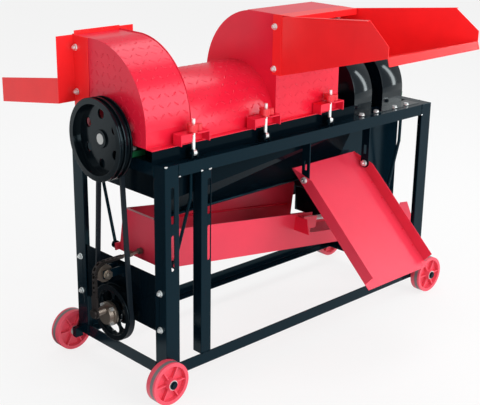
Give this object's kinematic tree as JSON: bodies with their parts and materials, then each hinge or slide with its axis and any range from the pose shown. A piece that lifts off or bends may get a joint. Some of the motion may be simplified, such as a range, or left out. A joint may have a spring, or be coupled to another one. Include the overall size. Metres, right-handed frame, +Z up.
{
  "type": "threshing machine",
  "caption": "Wheeled frame with a toothed threshing drum under red covers, side feed hopper, fans, shaken sieve, straw tray and tilting grain chute.",
  "frame": {"origin": "centre of the whole machine's footprint box, on the ground under the wheels", "axes": "+X along the machine from the input pulley to the sieve's outlet, -Y the feeding side with the hopper and the grain chute, +Z up"},
  "size_m": [1.3394, 1.06, 1.056],
  "materials": {
    "black_paint": "gloss",
    "red_paint": "gloss powder coat",
    "red_plastic": "satin",
    "wheel_plastic": "satin",
    "zinc": "bright zinc",
    "bare_steel": "machined",
    "chain_steel": "oiled",
    "drum_steel": "rolled",
    "green_cast": "painted",
    "cast_black": "gloss black paint",
    "belt_rubber": "matt"
  },
  "bodies": {
    "frame": {"front_left_leg": "black_paint", "front_right_leg": "black_paint", "back_legs": "black_paint", "second_post": "black_paint", "front_top_rail": "black_paint", "back_top_rail": "black_paint", "end_rails": "black_paint", "front_bottom_rail": "black_paint", "back_bottom_rail": "black_paint", "left_end_plate": "black_paint", "casing_front": "black_paint", "casing_back": "black_paint", "casing_ends": "black_paint", "concave": "drum_steel", "drum_bearings": "green_cast", "left_housing": "red_paint", "middle_cover": "red_paint", "feed_housing": "red_paint", "feed_hopper": "red_paint", "discharge_chute": "red_paint", "cover_brackets": "red_paint", "cover_hinges": "black_paint", "chute_straps": "black_paint", "fan_housings": "black_paint", "fan_duct": "black_paint", "idler_bracket": "black_paint", "crank_bearing": "cast_black", "axle_brackets": "black_paint", "v_belt": "belt_rubber", "return_spring": "zinc", "frame_bolts": "zinc"},
    "drum": {"drum": "drum_steel", "drum_shaft": "bare_steel", "drive_pulley": "cast_black", "belt_pulley": "cast_black", "fan_impellers": "bare_steel"},
    "crank": {"crank_pulley": "cast_black", "crank_shaft": "bare_steel"},
    "front_hanger": {"front_left_hanger": "black_paint"},
    "sieve": {"sieve_box": "red_paint", "sieve_screen": "bare_steel", "chain_run": "chain_steel", "adjusting_screw": "bare_steel"},
    "back_hanger": {"back_left_hanger": "black_paint"},
    "right_hangers": {"right_hangers": "black_paint"},
    "pull_chain": {"chain_link": "chain_steel", "chain_upright": "chain_steel"},
    "idler": {"idler_roller": "bare_steel", "chain_wrap": "chain_steel"},
    "grain_chute": {"grain_chute": "red_paint"},
    "clamp_bolt_1": {"eye_bolt_1": "zinc"},
    "clamp_knob_1": {"clamp_knob_1": "red_plastic"},
    "clamp_bolt_2": {"eye_bolt_2": "zinc"},
    "clamp_knob_2": {"clamp_knob_2": "red_plastic"},
    "clamp_bolt_3": {"eye_bolt_3": "zinc"},
    "clamp_knob_3": {"clamp_knob_3": "red_plastic"},
    "wheel_front_left": {"wheel_front_left": "wheel_plastic"},
    "wheel_front_right": {"wheel_front_right": "wheel_plastic"},
    "wheel_back_left": {"wheel_back_left": "wheel_plastic"},
    "wheel_back_right": {"wheel_back_right": "wheel_plastic"}
  },
  "joints": [
    {"name": "drum_spin", "type": "hinge", "parent": "frame", "child": "drum", "pos_m": [-0.19874, 0.079, 0.718], "axis": [1, 0, 0], "continuous": true},
    {"name": "crank_spin", "type": "hinge", "parent": "frame", "child": "crank", "pos_m": [-0.57874, 0.079, 0.199], "axis": [1, 0, 0], "continuous": true},
    {"name": "sieve_swing", "type": "hinge", "parent": "frame", "child": "front_hanger", "pos_m": [-0.46374, -0.108, 0.655], "axis": [0, 1, 0], "range_deg": [0, 5.6]},
    {"name": "sieve_level", "type": "hinge", "parent": "front_hanger", "child": "sieve", "pos_m": [-0.46874, -0.041, 0.347], "axis": [0, 1, 0], "range_deg": [-5.8, 0.1]},
    {"name": "back_hanger_swing", "type": "hinge", "parent": "frame", "child": "back_hanger", "pos_m": [-0.48874, 0.266, 0.655], "axis": [0, 1, 0], "range_deg": [-0.1, 5.8]},
    {"name": "right_hangers_swing", "type": "hinge", "parent": "frame", "child": "right_hangers", "pos_m": [0.44626, 0.079, 0.655], "axis": [0, 1, 0], "range_deg": [-0.1, 4.2]},
    {"name": "chain_pull", "type": "slide", "parent": "frame", "child": "pull_chain", "axis": [0, 0, 1], "range_m": [-0.031, 0.001]},
    {"name": "idler_turn", "type": "hinge", "parent": "frame", "child": "idler", "pos_m": [-0.62774, 0.079, 0.33], "axis": [0, 1, 0], "range_deg": [-57.5, 0.5]},
    {"name": "grain_chute_tilt", "type": "hinge", "parent": "frame", "child": "grain_chute", "pos_m": [0.13026, -0.1115, 0.52], "axis": [1, 0, 0], "range_deg": [-25, 30]},
    {"name": "clamp_1_swing", "type": "hinge", "parent": "frame", "child": "clamp_bolt_1", "pos_m": [-0.45874, -0.113, 0.691], "axis": [1, 0, 0], "range_deg": [0, 110]},
    {"name": "clamp_1_unscrew", "type": "slide", "parent": "clamp_bolt_1", "child": "clamp_knob_1", "axis": [0, 0, 1], "range_m": [-0.0001, 0.0118]},
    {"name": "clamp_2_swing", "type": "hinge", "parent": "frame", "child": "clamp_bolt_2", "pos_m": [-0.18674, -0.113, 0.691], "axis": [1, 0, 0], "range_deg": [0, 110]},
    {"name": "clamp_2_unscrew", "type": "slide", "parent": "clamp_bolt_2", "child": "clamp_knob_2", "axis": [0, 0, 1], "range_m": [-0.0001, 0.0118]},
    {"name": "clamp_3_swing", "type": "hinge", "parent": "frame", "child": "clamp_bolt_3", "pos_m": [0.08726, -0.113, 0.691], "axis": [1, 0, 0], "range_deg": [0, 110]},
    {"name": "clamp_3_unscrew", "type": "slide", "parent": "clamp_bolt_3", "child": "clamp_knob_3", "axis": [0, 0, 1], "range_m": [-0.0001, 0.0118]},
    {"name": "wheel_front_left_spin", "type": "hinge", "parent": "frame", "child": "wheel_front_left", "pos_m": [-0.58774, -0.151, 0.062], "axis": [0, 1, 0], "continuous": true},
    {"name": "wheel_front_right_spin", "type": "hinge", "parent": "frame", "child": "wheel_front_right", "pos_m": [0.59026, -0.151, 0.062], "axis": [0, 1, 0], "continuous": true},
    {"name": "wheel_back_left_spin", "type": "hinge", "parent": "frame", "child": "wheel_back_left", "pos_m": [-0.58774, 0.309, 0.062], "axis": [0, 1, 0], "continuous": true},
    {"name": "wheel_back_right_spin", "type": "hinge", "parent": "frame", "child": "wheel_back_right", "pos_m": [0.59026, 0.309, 0.062], "axis": [0, 1, 0], "continuous": true}
  ],
  "couplings": [
    {"joint": "crank_spin", "follows": "drum_spin", "ratio": 0.5952},
    {"joint": "sieve_level", "follows": "sieve_swing", "ratio": -1},
    {"joint": "back_hanger_swing", "follows": "sieve_swing", "ratio": 1},
    {"joint": "right_hangers_swing", "follows": "sieve_swing", "ratio": 0.7147},
    {"joint": "chain_pull", "follows": "sieve_swing", "m_per_rad": -0.3075},
    {"joint": "idler_turn", "follows": "sieve_swing", "ratio": -9.92},
    {"joint": "clamp_1_unscrew", "follows": "clamp_1_swing", "m_per_rad": 0.006},
    {"joint": "clamp_2_unscrew", "follows": "clamp_2_swing", "m_per_rad": 0.006},
    {"joint": "clamp_3_unscrew", "follows": "clamp_3_swing", "m_per_rad": 0.006}
  ]
}
